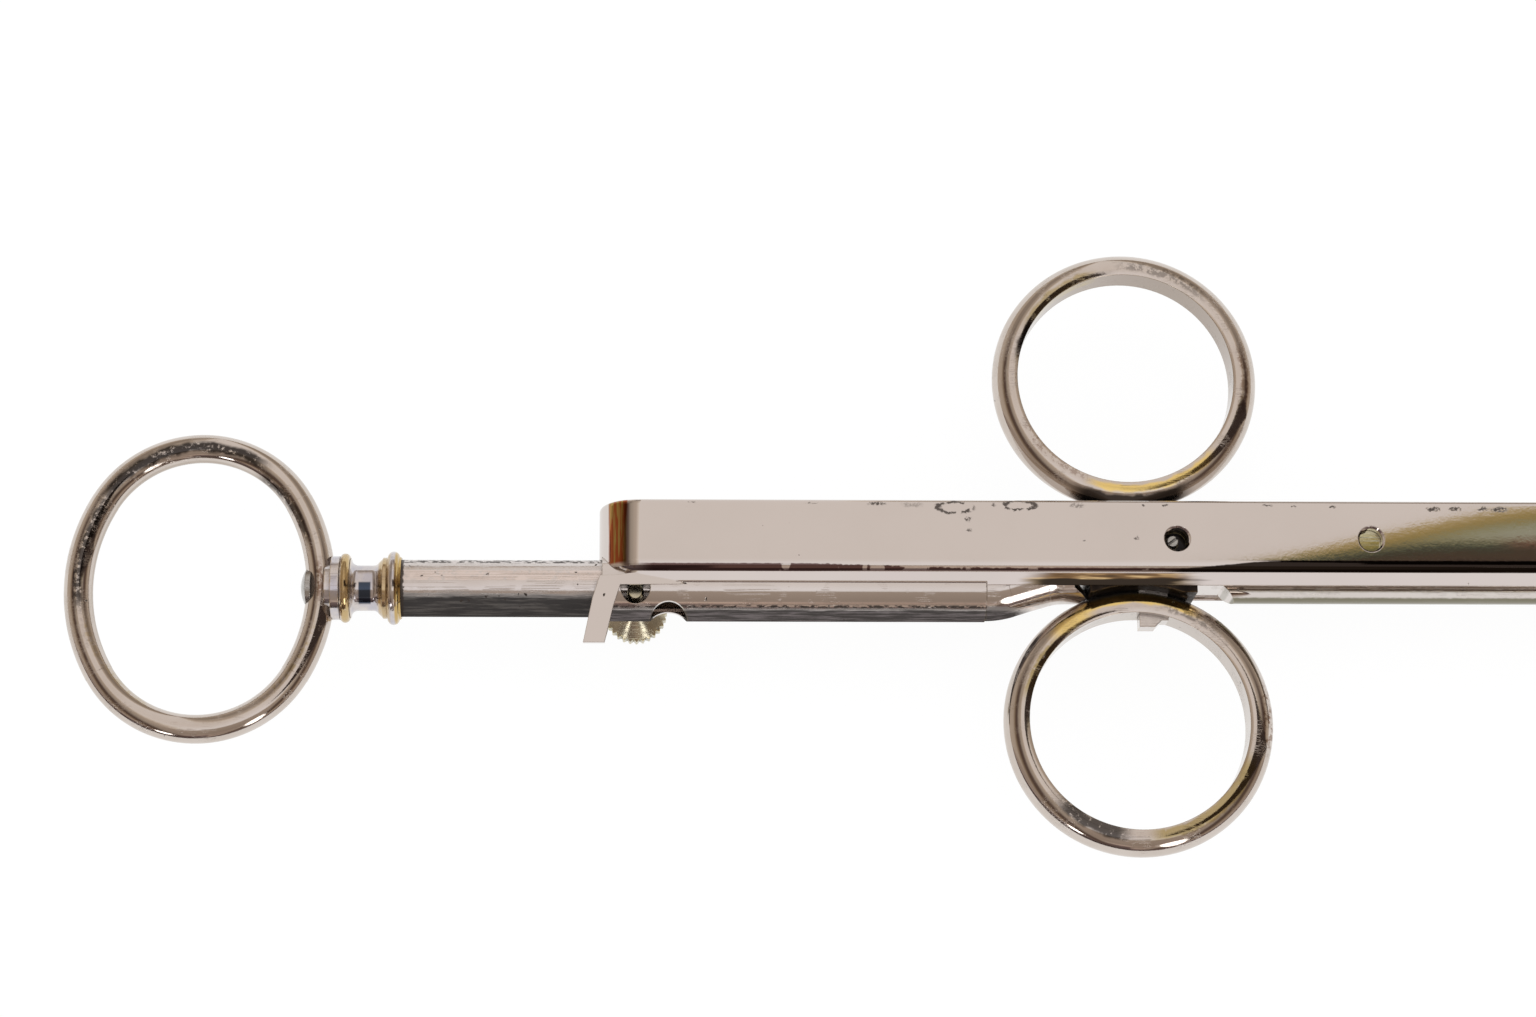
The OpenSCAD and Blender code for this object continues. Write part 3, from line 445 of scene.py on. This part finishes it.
# Etched patches in the plating along the bar's top edge. Spots: middle, half sizes and how dark;
# rims: middle and half sizes of ring-shaped ones
barMarks = dict(
    spots=[(97.9, 9.45, 1.2, 0.26, 1.0), (102.2, 9.3, 1.3, 0.35, 0.35),
           (108.9, 7.6, 0.4, 0.3, 1.0), (109.0, 6.2, 0.35, 0.25, 0.7),
           (112.0, 9.3, 0.4, 0.25, 0.7), (122.2, 9.3, 0.9, 0.3, 0.5),
           (130.2, 9.35, 0.25, 0.14, 1.0), (132.8, 9.35, 0.5, 0.16, 0.9),
           (145.3, 9.35, 0.6, 0.13, 0.8), (148.5, 9.3, 0.3, 0.14, 0.9),
           (153.2, 9.25, 0.4, 0.13, 0.8), (165.5, 8.95, 0.9, 0.3, 0.9),
           (168.2, 9.0, 0.8, 0.22, 0.9), (171.6, 9.0, 0.7, 0.2, 0.9),
           (173.6, 8.9, 1.0, 0.3, 0.9), (75.6, 9.6, 0.5, 0.12, 0.6),
           (90.0, 9.5, 0.8, 0.12, 0.6), (129.3, 5.25, 0.25, 0.3, 0.7)],
    rims=[(107.3, 9.0, 2.4, 0.75), (115.2, 9.25, 2.2, 0.6)],
    raggedNoise=(1.6, 4.0, 0.7), ragged=(1.3, 0.9, 0.0),  # how far the outlines wander in x, y, z
    spotEdge=(0.55, 1.2), rimBand=(0.72, 1.02, 0.12), rimNoise=(0.8, 2.0), rimWorn=(0.42, 0.5),
    spotNoise=(3.2, 3.0, 0.7), spotWorn=(0.38, 0.56), face=(4.0, 4.4), most=0.85)


def etched(f):
    setup = barMarks
    shift = f.noise(f.place, *setup["raggedNoise"]).other("Color")
    ragged = f.vector("MULTIPLY_ADD", shift, setup["ragged"], f.place)
    shiftX, shiftY, _ = (reach / 2 for reach in setup["ragged"])      # the noise's mean is a half

    def away(x, y, wide, tall):
        return f.farFrom(ragged, (x + shiftX, y + shiftY), (wide, tall))

    spots, rims = 0, 0
    for *shape, depth in setup["spots"]:
        spots = f.fall(away(*shape), *setup["spotEdge"]) * depth + spots
    rimWorn = f.step(f.noise(f.place, *setup["rimNoise"]), *setup["rimWorn"])
    for shape in setup["rims"]:
        rims = f.band(away(*shape), *setup["rimBand"]) * rimWorn + rims
    spotWorn = f.step(f.noise(f.place, *setup["spotNoise"]), *setup["spotWorn"])
    marks = (spots * spotWorn + rims) * f.step(f.z, *setup["face"])
    f.dark = f.dark.atLeast(marks.atMost(setup["most"]))


# Painted reflection: brown and olive streaks on the rounded nose, standing in for the room it
# mirrors
noseReflection = dict(low=65.55, high=67.75, soft=0.14, ragged=0.5, above=(1.9, 2.4),
                   shape=(3.2, 0.16, 0.16), noise=(1.0, 3.0, 0.6), change=(0.45, 0.6),
                   brown=(0.30, 0.075, 0.025), olive=(0.34, 0.22, 0.07))


def noseMirrored(f):
    setup = noseReflection
    streaks = f.drawnOut(setup["shape"], setup["noise"])
    mask = f.band(f.wander(f.x, streaks, setup["ragged"]), setup["low"], setup["high"],
                  setup["soft"]) * f.front
    shade = f.blend(f.step(streaks, *setup["change"]), setup["brown"], setup["olive"])
    # painted reflection on the nose
    f.spread(mask * f.step(f.y, *setup["above"]), shade)


# Painted reflection: brown mirror image of the lower ring in the bevel over its foot, painted
# nearly black along the lower edge
footMirror = dict(low=117.0, high=135.5, soft=2.2, ragged=6.0, bevel=(1.0, 1.2),
                  shape=(0.16, 1.7, 1.7), noise=(1.0, 3.0),
                  shades=[(0.30, (0.05, 0.035, 0.025)), (0.5, (0.22, 0.13, 0.06)),
                          (0.62, (0.62, 0.44, 0.22)), (0.8, (0.10, 0.06, 0.04))],
                  lipRagged=0.5, lip=(0.35, 0.5), lipShade=(0.04, 0.03, 0.022))


def mirrored(f):
    setup = footMirror
    waves = f.drawnOut(setup["shape"], setup["noise"])
    wavyX = f.wander(f.x, waves, setup["ragged"])
    bevel = f.fall(f.y, *setup["bevel"]) * f.band(wavyX, setup["low"], setup["high"],
                                                  setup["soft"]) * f.front
    # painted reflection of the lower ring
    f.spread(bevel, f.ramp(setup["shades"], waves))
    lip = f.fall(f.wander(f.y, waves, setup["lipRagged"]), *setup["lip"])
    f.spread(bevel * lip, setup["lipShade"])


# Dark line in the crease over the bevel, partly tarnish and partly a painted dark reflection: wide
# and clean behind the nose, then torn, then thin
stripe = dict(low=1.2, high=2.02, starts=(67.6, 71.0), shade=(0.13, 0.078, 0.074),
              thins=(88.0, 106.0), lowerBy=0.4, higherBy=0.16, torn=(92.0, 116.0, 4.0),
              edgeShape=(1.4, 2.0, 1.0), gapShape=(0.55, 0.3, 0.3), noise=(1.0, 3.0),
              ragged=0.15, tornRagged=0.4, gaps=(0.66, 0.70), tornGaps=0.13, gapMuch=0.85,
              lowSoft=0.05, highSoft=0.06)


def lined(f):
    setup = stripe
    thin = f.step(f.x, *setup["thins"])
    torn = f.band(f.x, *setup["torn"])
    high = f.wander(setup["high"] - thin * setup["lowerBy"],
                    f.drawnOut(setup["edgeShape"], setup["noise"]),
                    setup["ragged"] + torn * setup["tornRagged"])
    gapsFrom, gapsTo = (edge - torn * setup["tornGaps"] for edge in setup["gaps"])
    gaps = f.step(f.drawnOut(setup["gapShape"], setup["noise"]), gapsFrom, gapsTo)
    low = setup["low"] + thin * setup["higherBy"]
    across = (f.step(f.y - low, -setup["lowSoft"], setup["lowSoft"])
              * f.fall(f.y - high, -setup["highSoft"], setup["highSoft"]))
    whole = 1 - gaps * setup["gapMuch"]
    # tarnish and painted dark reflection along the crease
    f.spread(across * f.step(f.x, *setup["starts"]) * whole * f.front, setup["shade"])


# Painted reflection: the foot of the room's dark gap on the bar's face, which rises towards the
# right
gapFoot = dict(starts=(132.0, 135.0), rises=(132.0, 148.0), rise=1.0, ragged=0.2,
               low=(1.15, 1.25), high=(1.42, 1.58), shade=(0.03, 0.022, 0.018))


def footed(f):
    setup = gapFoot
    lowered = f.wander(f.y - f.step(f.x, *setup["rises"]) * setup["rise"], f.fine, setup["ragged"])
    foot = f.fall(lowered, *setup["high"]) * f.step(f.y, *setup["low"])
    # painted reflection of the room's dark gap
    f.spread(foot * f.step(f.x, *setup["starts"]) * f.front, setup["shade"])


# Painted shade: a dark lower side with streaks, a painted highlight line over it, and specks of
# dirt. How far up the shade reaches, how dark it is and where highlight line and specks lie is in
# the recipes
lowerSideSetup = dict(shape=(0.22, 2.6, 2.6), noise=(1.0, 4.0, 0.65), change=(0.42, 0.66),
                    highlightSoft=0.06, highlightBreakUp=(0.3, 0.5), highlightMuch=0.6, highlightShade=(0.80, 0.68, 0.62),
                    speckShape=(1.6, 3.0, 3.0), speckNoise=(0.9, 3.0), speckSoft=0.12,
                    speckEdge=(0.47, 0.54), speckMuch=0.9)


def shadedBelow(f):
    setup, reach = lowerSideSetup, f.recipe["lowerSide"]
    streaks = f.drawnOut(setup["shape"], setup["noise"])
    under = f.fall(f.wander(f.y, streaks, reach["ragged"]), reach["low"], reach["high"])
    shade = f.blend(f.step(streaks, *setup["change"]), reach["deep"], reach["pale"])
    # painted shade along the lower side
    f.spread(under * reach["much"], shade)
    f.matt = f.matt.atLeast(under)
    # painted highlight line over the shaded lower side
    wearAndHighlight = f.band(f.y, *reach["wearAndHighlight"], setup["highlightSoft"]) * f.front
    f.spread(wearAndHighlight * f.step(f.fine, *setup["highlightBreakUp"]) * setup["highlightMuch"], setup["highlightShade"])
    grit = f.drawnOut(setup["speckShape"], setup["speckNoise"])
    specks = f.band(f.y, *reach["specks"], setup["speckSoft"]) * f.step(grit, *setup["speckEdge"])
    f.dark = f.dark.atLeast(specks * setup["speckMuch"])


# Dark line where the stem leaves the neck
neckLine = dict(place=(40.4, 40.95, 0.1), ragged=0.5, much=0.9)


def soiled(f):
    line = f.band(f.wander(f.x, f.fine, neckLine["ragged"]), *neckLine["place"])
    f.dark = f.dark.atLeast(line * neckLine["much"])


# Brass showing on the neck's two beads, each as a band and how much, and a painted reflection, a
# blue-black patch in front of its waist
neckTouches = dict(brass=[(33.4, 34.5, 0.2, 0.8), (37.9, 39.3, 0.25, 0.7),
                          (39.9, 40.7, 0.15, 0.95)],
                   wearAndHighlight=(0.2, 0.4), patchX=(35.55, 37.0, 0.1), patchY=(-2.3, 0.1, 0.12),
                   blue=(0.055, 0.07, 0.10))


def beaded(f):
    for *place, much in neckTouches["brass"]:
        bead = f.band(f.x, *place) * much * f.step(f.fine, *neckTouches["wearAndHighlight"])
        f.brass = f.brass.atLeast(bead)
    # painted reflection: the blue-black patch on the waist
    patch = f.band(f.x, *neckTouches["patchX"]) * f.band(f.y, *neckTouches["patchY"])
    f.spread(patch * f.front, neckTouches["blue"])


# What shows of the rail through the bar's two holes, the first painted black as shade, and olive
# borders of painted shade along the keel, each as low, high and how much
railTouches = dict(discs=[(134.3, 5.2, 1.46, (0.02, 0.018, 0.018)),
                          (157.9, 5.2, 1.5, (0.62, 0.60, 0.42))],
                   discEdge=(0.98, 1.04), borders=[(-0.8, -0.25, 0.45), (-2.2, -1.27, 0.95)],
                   borderSoft=0.1, borderRagged=0.15, olive=(0.17, 0.155, 0.10))


def welled(f):
    setup = railTouches
    # the first disc is painted shade in its hole, the second a pale disc
    for x, y, radius, shade in setup["discs"]:
        f.spread(f.fall(f.farFrom(f.place, (x, y), (radius, radius)), *setup["discEdge"]), shade)
    raggedY = f.wander(f.y, f.fine, setup["borderRagged"])
    # painted shade along the keel's edges
    for low, high, much in setup["borders"]:
        f.spread(f.band(raggedY, low, high, setup["borderSoft"]) * much, setup["olive"])


# What the marks on all three rings share: tarnish, wear and painted reflections
ringWearAndReflections = dict(
    shades=dict(black=(0.045, 0.038, 0.035), brown=(0.20, 0.11, 0.065), olive=(0.42, 0.32, 0.13),
                gold=(0.85, 0.62, 0.20)),
    raggedNoise=(0.5, 3.0), ragged=0.9, grit=(1.6, 4.0, 0.7), goldRough=0.06,
    wallTurn=(0.2, 0.45), wallReach=(14.2, 14.7),
    endInside=7, endOutside=4, soft=0.22,                 # degrees at the ends, mm at the sides
    gritFrom=(0.1, 0.62), gritTo=(0.3, 0.5))              # if whole, and what broken adds
# Each ring's middle, its height over its width, how much painted shade darkens its inner wall and
# in what, and its marked places, some tarnish and wear and some painted reflections: from and to in
# degrees round the middle, from and to in mm from it, how much, how broken, and the shade
thumbTouches = dict(middle=(16.3, 0.0), tall=1.147, wall=(0.6, (0.36, 0.29, 0.23)), places=[
    (62, 138, 14.5, 15.5, 0.97, 0.3, "black"), (134, 192, 13.9, 15.0, 0.9, 0.46, "black"),
    (22, 64, 13.6, 14.3, 0.85, 0.35, "black"), (-8, 13, 14.1, 15.0, 0.8, 0.5, "brown"),
    (-62, -18, 14.2, 14.8, 0.6, 0.6, "olive"), (196, 250, 13.6, 14.2, 0.4, 0.5, "olive")])
upperTouches = dict(middle=(128.9, 26.37), tall=1.0, wall=(0.85, (0.30, 0.235, 0.185)), places=[
    (105, 150, 13.2, 14.3, 0.7, 0.3, "olive"), (146, 168, 13.2, 13.9, 0.9, 0.2, "black"),
    (46, 92, 13.8, 15.0, 0.5, 0.5, "black"), (-18, 17, 14.2, 15.2, 0.6, 0.5, "brown"),
    (250, 318, 13.7, 14.6, 0.9, 0.1, "gold"), (244, 298, 14.95, 16.6, 0.95, 0.1, "black"),
    (205, 250, 13.4, 14.2, 0.5, 0.6, "brown")])
lowerTouches = dict(middle=(129.4, -16.55), tall=1.0, wall=(0.5, (0.42, 0.36, 0.31)), places=[
    (60, 118, 14.4, 15.7, 0.9, 0.1, "gold"), (112, 136, 13.6, 15.3, 0.85, 0.2, "gold"),
    (135, 168, 13.2, 14.3, 0.85, 0.3, "olive"), (48, 78, 13.9, 14.9, 0.5, 0.5, "black"),
    (-14, 17, 15.0, 16.2, 0.85, 0.6, "brown"), (-86, -18, 13.4, 14.8, 0.85, 0.2, "olive"),
    (224, 263, 13.2, 14.7, 0.9, 0.3, "black")])


def wornAndMirrored(f):
    setup, ring = ringWearAndReflections, f.recipe["ring"]
    middleX, middleY = ring["middle"]
    reach = f.wander(f.farFrom(f.place, ring["middle"], (1, ring["tall"])),
                     f.noise(f.place, *setup["raggedNoise"]), setup["ragged"])
    angle = (f.y - middleY).maths("ARCTAN2", f.x - middleX) * degreesPerRadian
    grit = f.noise(f.place, *setup["grit"])
    _, _, facing = f.split(f.put("NewGeometry", out="Normal"))
    # painted shade on the ring's inner wall
    much, shade = ring["wall"]
    wall = f.fall(abs(facing), *setup["wallTurn"]) * f.fall(reach, *setup["wallReach"])
    f.spread(wall * much, shade)
    # marked places: tarnish and wear, and painted reflections such as the gold lines and dark bands
    for start, end, inner, outer, much, broken, shade in ring["places"]:
        away = abs((angle - (start + end) / 2).maths("WRAP", 180, -180))
        half = (end - start) / 2
        along = f.fall(away, half - setup["endInside"], half + setup["endOutside"])
        gritFrom, gritTo = (whole + broken * added
                            for whole, added in (setup["gritFrom"], setup["gritTo"]))
        mask = (along * f.band(reach, inner, outer, setup["soft"]) * f.front * much
                * f.step(grit, gritFrom, gritTo))
        if shade == "gold":
            f.dull = f.dull + mask * setup["goldRough"]
        f.spread(mask, setup["shades"][shade])


# Clouds mix plate and shade, brass shows at worn edges, dirt fills pits and painted shade darkens
# crevices. Scales are noise scales, shares run from 0 to 1, and round is the radius of the edges in
# metres
nickelRecipe = dict(
    plate=(0.655, 0.60, 0.565), shade=(0.57, 0.52, 0.48), cloud=0.3, cloudScale=0.12,
    rough=0.08, roughSpread=0.05, brass=(0.72, 0.55, 0.22), edgeBrass=0.15,
    dirtAndShade=(0.045, 0.035, 0.03), crevice=0.6, pitScale=0.9, pitSize=0.14, pitShare=0.03,
    lines=0.6, lineShare=0.12, grain=0.05, round=0.00012, relief=0.4, mattness=1.0, touches=())
barRecipe = dict(
    nickelRecipe, cloud=0.15, rough=0.02, roughSpread=0.008, edgeBrass=0.0, crevice=0.0,
    lines=0.0, grain=0.008, pitShare=0.012, touches=(noseMirrored, mirrored, lined, footed, etched))
railRecipe = dict(
    nickelRecipe, rough=0.025, roughSpread=0.01, grain=0.01, crevice=0.0, touches=(welled,))
ringRecipe = dict(
    nickelRecipe, plate=(0.62, 0.555, 0.505), shade=(0.54, 0.47, 0.41), cloud=0.5,
    cloudScale=0.2, roughSpread=0.08, edgeBrass=0.1, crevice=0.1, pitShare=0.06, grain=0.08,
    lines=0.5, touches=(wornAndMirrored,))
sleeveRecipe = dict(
    nickelRecipe, roughSpread=0.06, cloud=0.4, pitShare=0.05, lines=0.4, crevice=0.1,
    edgeBrass=0.1, touches=(shadedBelow,),
    lowerSide=dict(low=-3.3, high=-2.85, ragged=0.5, specks=(-2.98, -2.68), wearAndHighlight=(-2.6, -2.4),
                 much=0.92, deep=(0.012, 0.009, 0.009), pale=(0.125, 0.105, 0.108)))
stemRecipe = dict(
    nickelRecipe, plate=(0.66, 0.61, 0.585), shade=(0.54, 0.48, 0.44), cloud=0.6, rough=0.12,
    roughSpread=0.12, pitScale=1.3, pitSize=0.25, pitShare=0.16, lines=0.7, lineShare=0.25,
    grain=0.2, edgeBrass=0.0, touches=(shadedBelow, soiled),
    lowerSide=dict(low=-2.05, high=-0.9, ragged=1.3, specks=(2.6, 3.2), wearAndHighlight=(0.2, 1.5),
                 much=0.95, deep=(0.012, 0.010, 0.010), pale=(0.065, 0.057, 0.052)))
tipRecipe = dict(                             # its specks lie past its lower edge, so none show
    sleeveRecipe, lowerSide=dict(sleeveRecipe["lowerSide"], high=-2.5, specks=(-9.0, -8.0), ragged=0.3))
brassRecipe = dict(
    nickelRecipe, shade=(0.46, 0.45, 0.52), cloud=0.7, cloudScale=0.5, rough=0.10,
    edgeBrass=0.7, brass=(0.53, 0.36, 0.12), pitShare=0.10, grain=0.10, touches=(beaded,))
screwRecipe = dict(
    nickelRecipe, plate=(0.56, 0.51, 0.38), shade=(0.34, 0.32, 0.25), cloud=0.8, cloudScale=0.5,
    brass=(0.74, 0.62, 0.30), rough=0.2, edgeBrass=0.8, crevice=0.9, pitShare=0.12, grain=0.12)
# painted shade: the foot under the lower ring is painted near black, standing in for the shadow
# between bar and ring
solderRecipe = dict(
    nickelRecipe, plate=(0.04, 0.03, 0.024), shade=(0.018, 0.014, 0.012), cloud=1.0,
    cloudScale=0.6, brass=(0.25, 0.16, 0.07), edgeBrass=0.35, rough=0.42, roughSpread=0.3,
    grain=0.6, pitShare=0.2)
steelRecipe = dict(
    nickelRecipe, plate=(0.50, 0.49, 0.47), shade=(0.32, 0.30, 0.28), cloud=0.5,
    cloudScale=0.35, edgeBrass=0.0, rough=0.22, roughSpread=0.16, pitScale=1.6, pitSize=0.2,
    pitShare=0.2, grain=0.25)
bladeRecipe = dict(
    nickelRecipe, plate=(0.62, 0.61, 0.60), shade=(0.50, 0.48, 0.47), edgeBrass=0.0, rough=0.16,
    lines=1.0, lineShare=0.3)

dressing = dict(
    barNickel=(barRecipe, ["slide_bar"]),
    polishedNickel=(nickelRecipe, ["ring_saddle_upper", "screw_boss", "keeper_rear",
                                   "keeper_front", "guard_lower", "guard_upper",
                                   "lower_ring_rivet", "fork_button"]),
    railNickel=(railRecipe, ["rail"]),
    thumbRingNickel=(dict(ringRecipe, ring=thumbTouches), ["thumb_ring"]),
    upperRingNickel=(dict(ringRecipe, ring=upperTouches), ["finger_ring_upper"]),
    lowerRingNickel=(dict(ringRecipe, ring=lowerTouches), ["finger_ring_lower"]),
    stemNickel=(stemRecipe, ["stem"]),
    sleeveNickel=(sleeveRecipe, ["sleeve"]),
    tipNickel=(tipRecipe, ["sleeve_tip"]),
    neckBrass=(brassRecipe, ["neck_baluster"]),
    screwBrass=(screwRecipe, ["thumb_screw", "upper_ring_rivet", "guard_rivets",
                              "guard_tang_rivets"]),
    solderPaintedShade=(solderRecipe, ["ring_foot_lower"]),
    dullSteel=(steelRecipe, ["thumb_ring_rivet", "guide_bar", "stop_pin", "keeper_screws",
                             "knife_screws", "fork_carrier", "fork_pivot_pin"]),
    groundSteel=(bladeRecipe, ["ring_knife", "fork"]))

for finishName, (recipe, wearers) in dressing.items():
    material = plated(finishName, recipe)
    for wearer in wearers:
        for slot in nodes[wearer].material_slots:
            slot.material = material
print("finishes made:", len(dressing))
